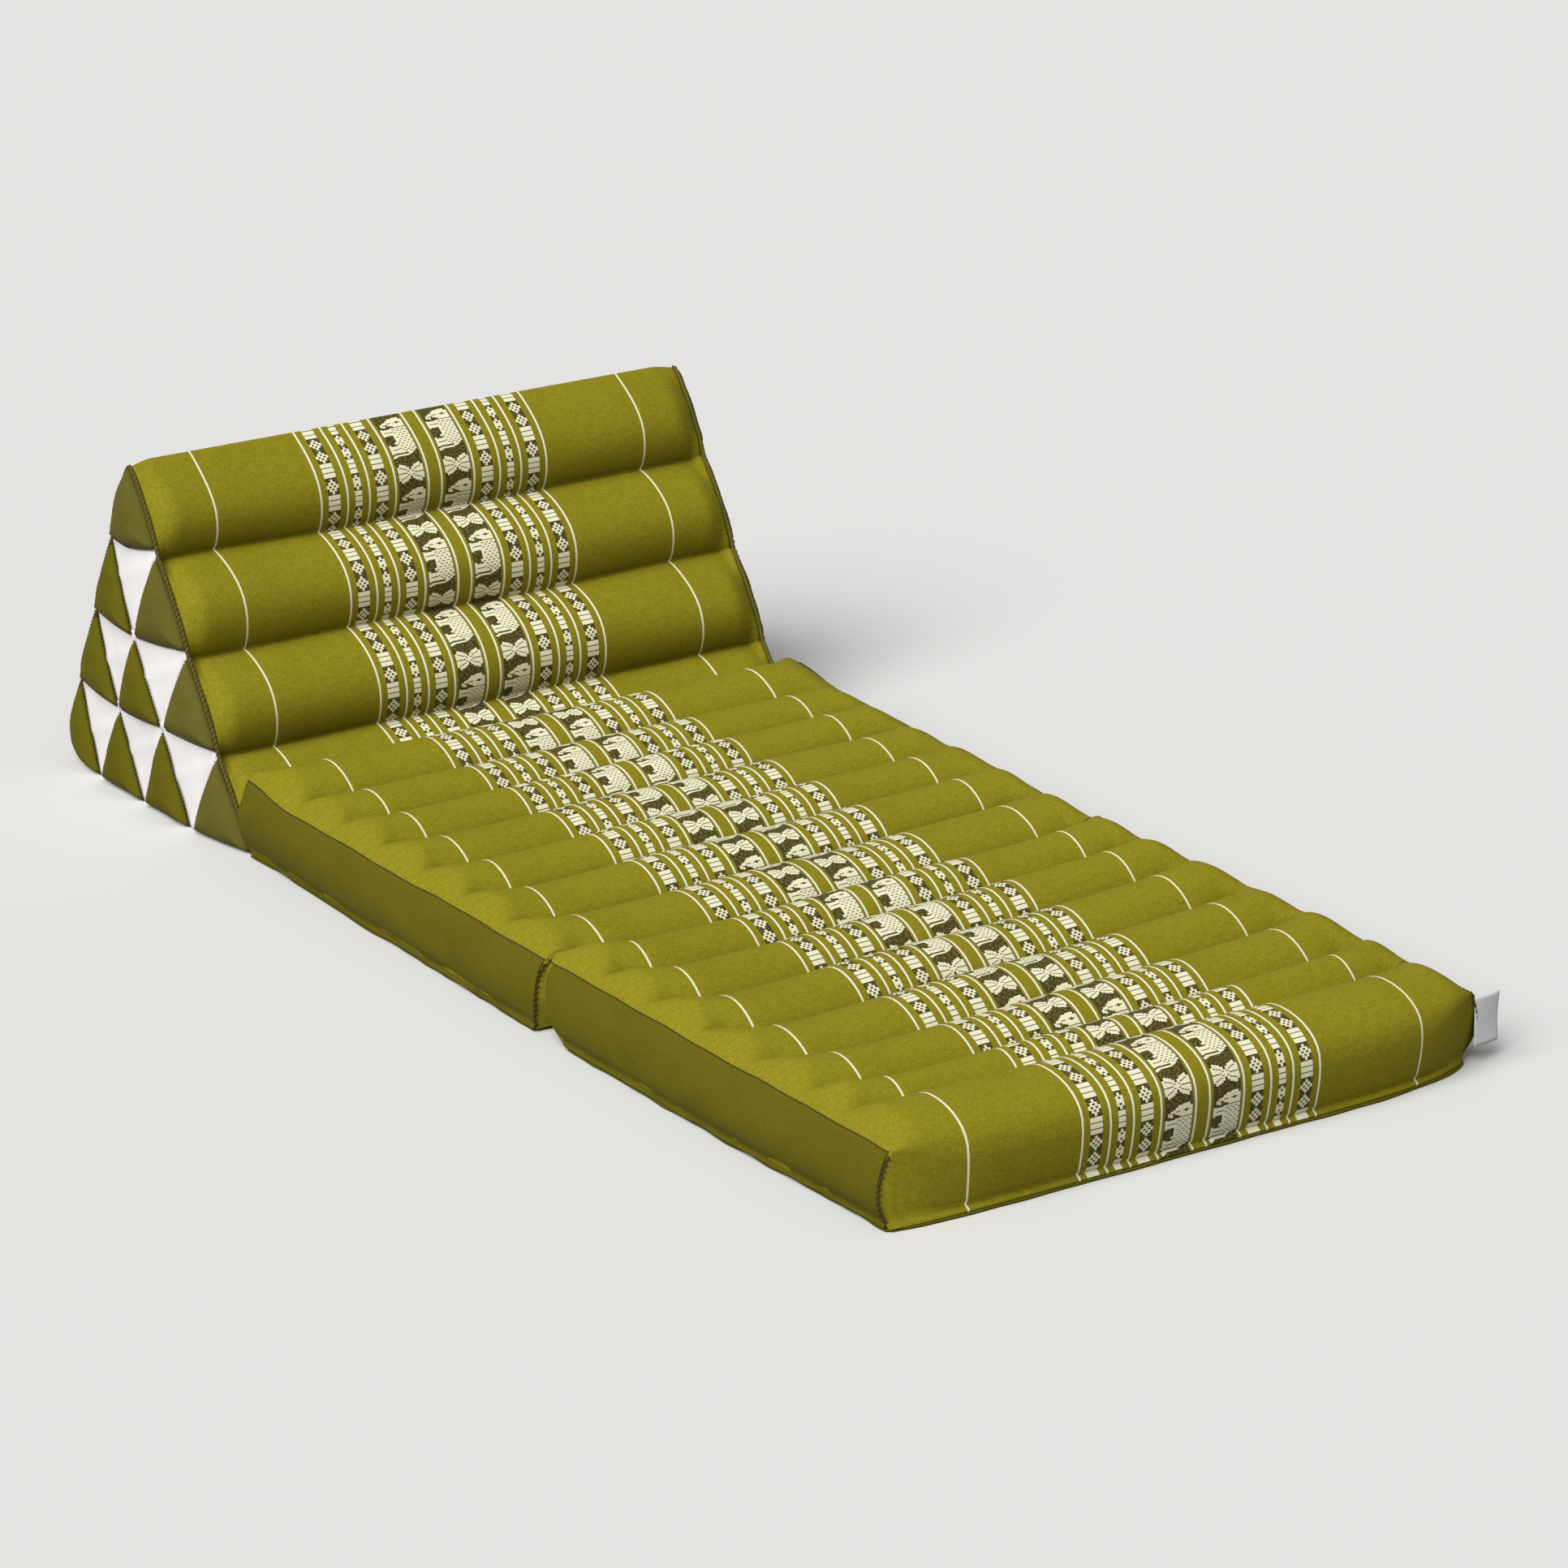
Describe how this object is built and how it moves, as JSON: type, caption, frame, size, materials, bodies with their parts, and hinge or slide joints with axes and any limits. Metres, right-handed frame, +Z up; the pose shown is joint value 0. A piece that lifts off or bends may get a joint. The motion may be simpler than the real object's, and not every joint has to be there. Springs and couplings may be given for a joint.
{
  "type": "thai folding cushion mat",
  "caption": "Padded floor mat in two fold-out sections sewn to a triangular backrest cushion, quilted into rolls across its width.",
  "frame": {"origin": "on the floor, below the middle of the whole laid-out mat", "axes": "+Y from the foot end to the backrest, +X across the width to the side with the label, +Z up"},
  "size_m": [0.538, 1.2388, 0.277],
  "materials": {
    "cover": "heathered olive green cotton with cream stripes and a woven motif band, soft sheen",
    "plain": "plain olive green cotton, matt",
    "patchwork": "filled olive green triangles and flat white ones, matt",
    "ribbon": "white satin ribbon, blank"
  },
  "bodies": {
    "root": {"wedge_cushion": "cover", "wedge_end_near": "patchwork", "wedge_end_far": "patchwork", "mat_1_cushion": "cover", "mat_1_side_near": "plain", "mat_1_side_far": "plain", "mat_1_base": "plain", "mat_2_cushion": "cover", "mat_2_side_near": "plain", "mat_2_side_far": "plain", "mat_2_base": "plain", "hinge_wedge_mat": "plain", "hinge_mats": "cover", "label": "ribbon"}
  },
  "joints": []
}
